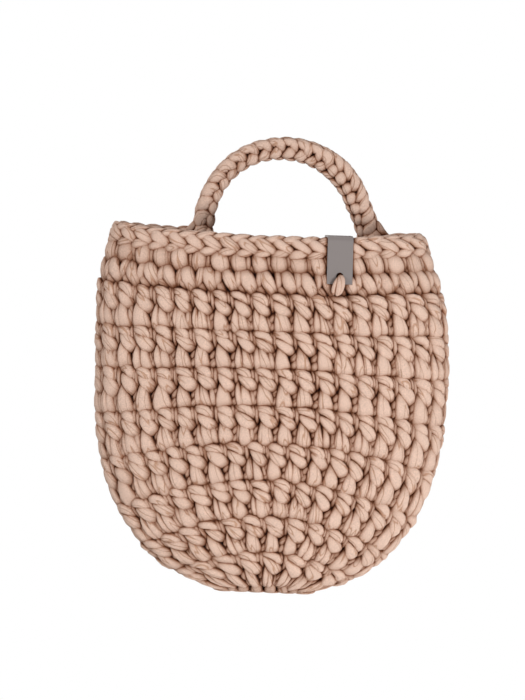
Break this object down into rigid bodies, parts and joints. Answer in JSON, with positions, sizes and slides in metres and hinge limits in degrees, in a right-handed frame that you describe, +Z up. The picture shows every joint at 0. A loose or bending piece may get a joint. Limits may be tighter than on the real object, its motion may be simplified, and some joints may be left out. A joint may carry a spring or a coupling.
{
  "type": "hanging storage basket",
  "caption": "Crocheted bag-shaped wall basket of thick jersey yarn with an arched handle, a braided rim and a folded tag.",
  "frame": {"origin": "the highest point inside the handle's arch, where the basket hangs on a hook or peg", "axes": "+Z up, +Y towards the wall behind the basket, so the front with the tag faces -Y, and +X to the viewer's right"},
  "size_m": [0.2518, 0.0788, 0.3275],
  "materials": {
    "yarn": "dusty pink jersey yarn, matt, with fine knitted ribs",
    "tag": "smooth grey imitation leather, satin"
  },
  "bodies": {
    "handle": {"handle": "yarn"},
    "basket": {"base_start": "yarn", "base_round_1": "yarn", "base_round_2": "yarn", "base_round_3": "yarn", "wall_round_1": "yarn", "wall_round_2": "yarn", "wall_round_3": "yarn", "wall_round_4": "yarn", "wall_round_5": "yarn", "short_round_lower": "yarn", "short_round_upper": "yarn", "rim_braid": "yarn", "label": "tag", "label_stitch": "yarn"}
  },
  "joints": [
    {"name": "basket_swing", "type": "hinge", "parent": "handle", "child": "basket", "pos_m": [0, 0, -0.05775], "axis": [1, 0, 0], "range_deg": [-70, 90]}
  ]
}
